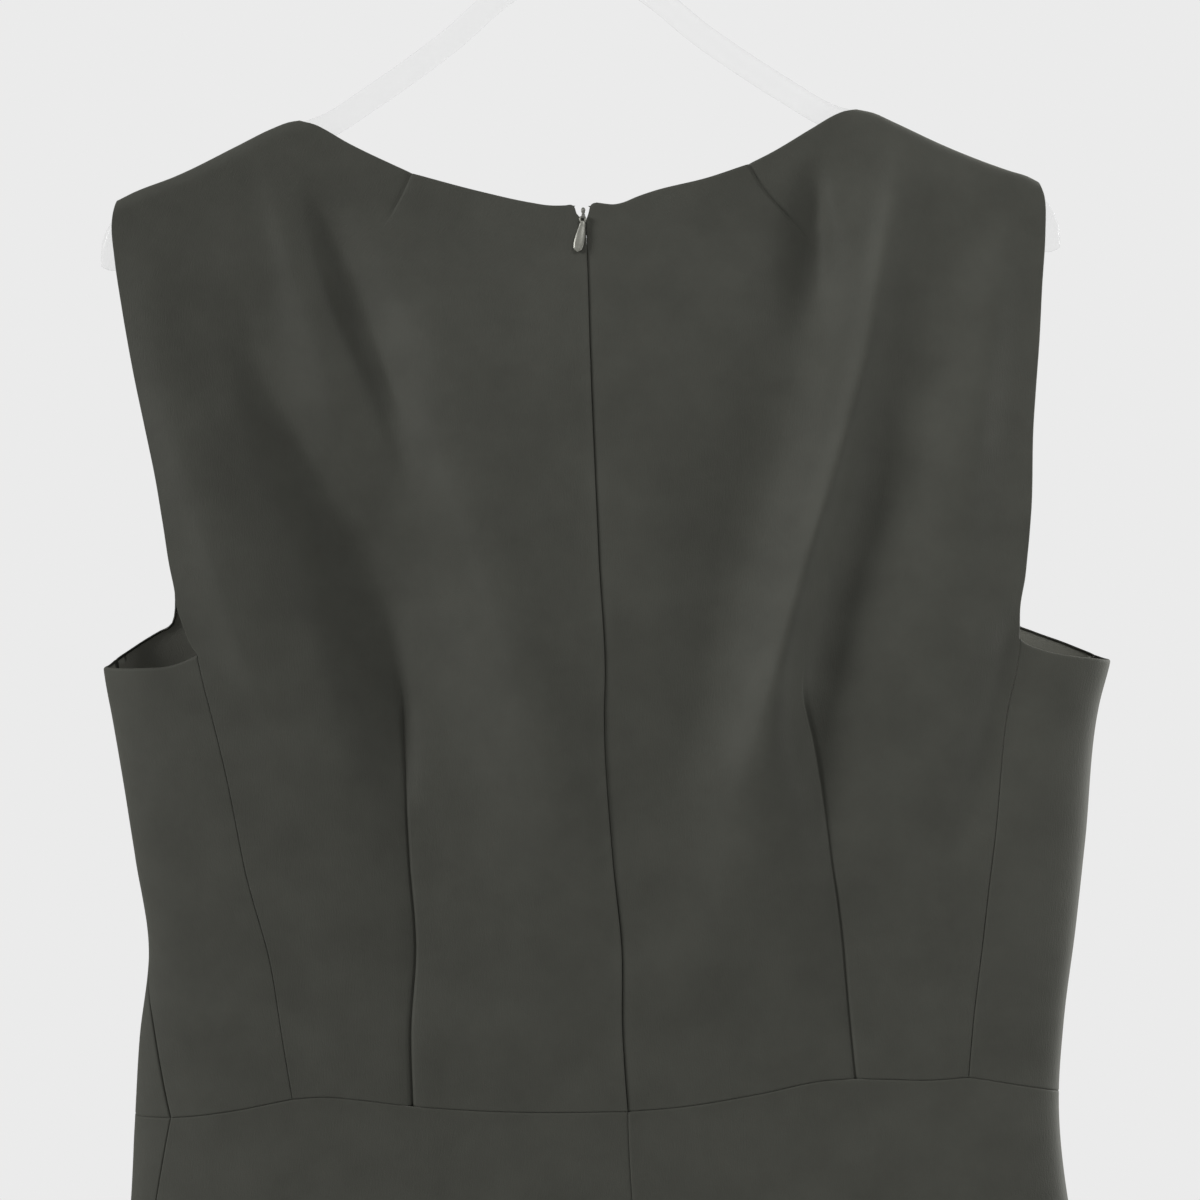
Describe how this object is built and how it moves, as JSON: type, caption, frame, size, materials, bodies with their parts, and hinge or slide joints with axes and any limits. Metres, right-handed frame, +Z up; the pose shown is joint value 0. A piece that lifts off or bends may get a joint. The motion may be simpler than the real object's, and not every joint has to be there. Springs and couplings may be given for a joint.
{
  "type": "sheath dress on a hanger",
  "caption": "Sleeveless knee-length sheath dress with a zipped back, darts and side panels, hanging on a clear plastic hanger.",
  "frame": {"origin": "inside top of the hanger's hook, where a rail or a wall hook carries it", "axes": "+Z up; the garment's back, which the picture shows, faces -Y; +X is its right as seen from there"},
  "size_m": [0.4883, 0.105, 1.1299],
  "materials": {
    "crepe": "matt dark charcoal crepe with a soft sheen on its folds",
    "zip_tape": "matt woven tape with a nylon coil",
    "zip_metal": "satin warm grey",
    "clear_plastic": "clear moulded plastic"
  },
  "bodies": {
    "dress": {"back_left": "crepe", "back_right": "crepe", "side_back_left": "crepe", "side_back_right": "crepe", "front_bodice": "crepe", "skirt_back_left": "crepe", "skirt_back_right": "crepe", "skirt_front": "crepe", "zip_tape": "zip_tape", "zip_slider": "zip_metal", "hanger_arms": "clear_plastic", "hanger_hook": "clear_plastic"},
    "pull_tab": {"zip_pull": "zip_metal"}
  },
  "joints": [
    {"name": "pull_tab_swing", "type": "hinge", "parent": "dress", "child": "pull_tab", "pos_m": [0.0016, -0.01448, -0.1906], "axis": [-0.9781, 0.0348, 0.205], "range_deg": [0, 150]}
  ]
}
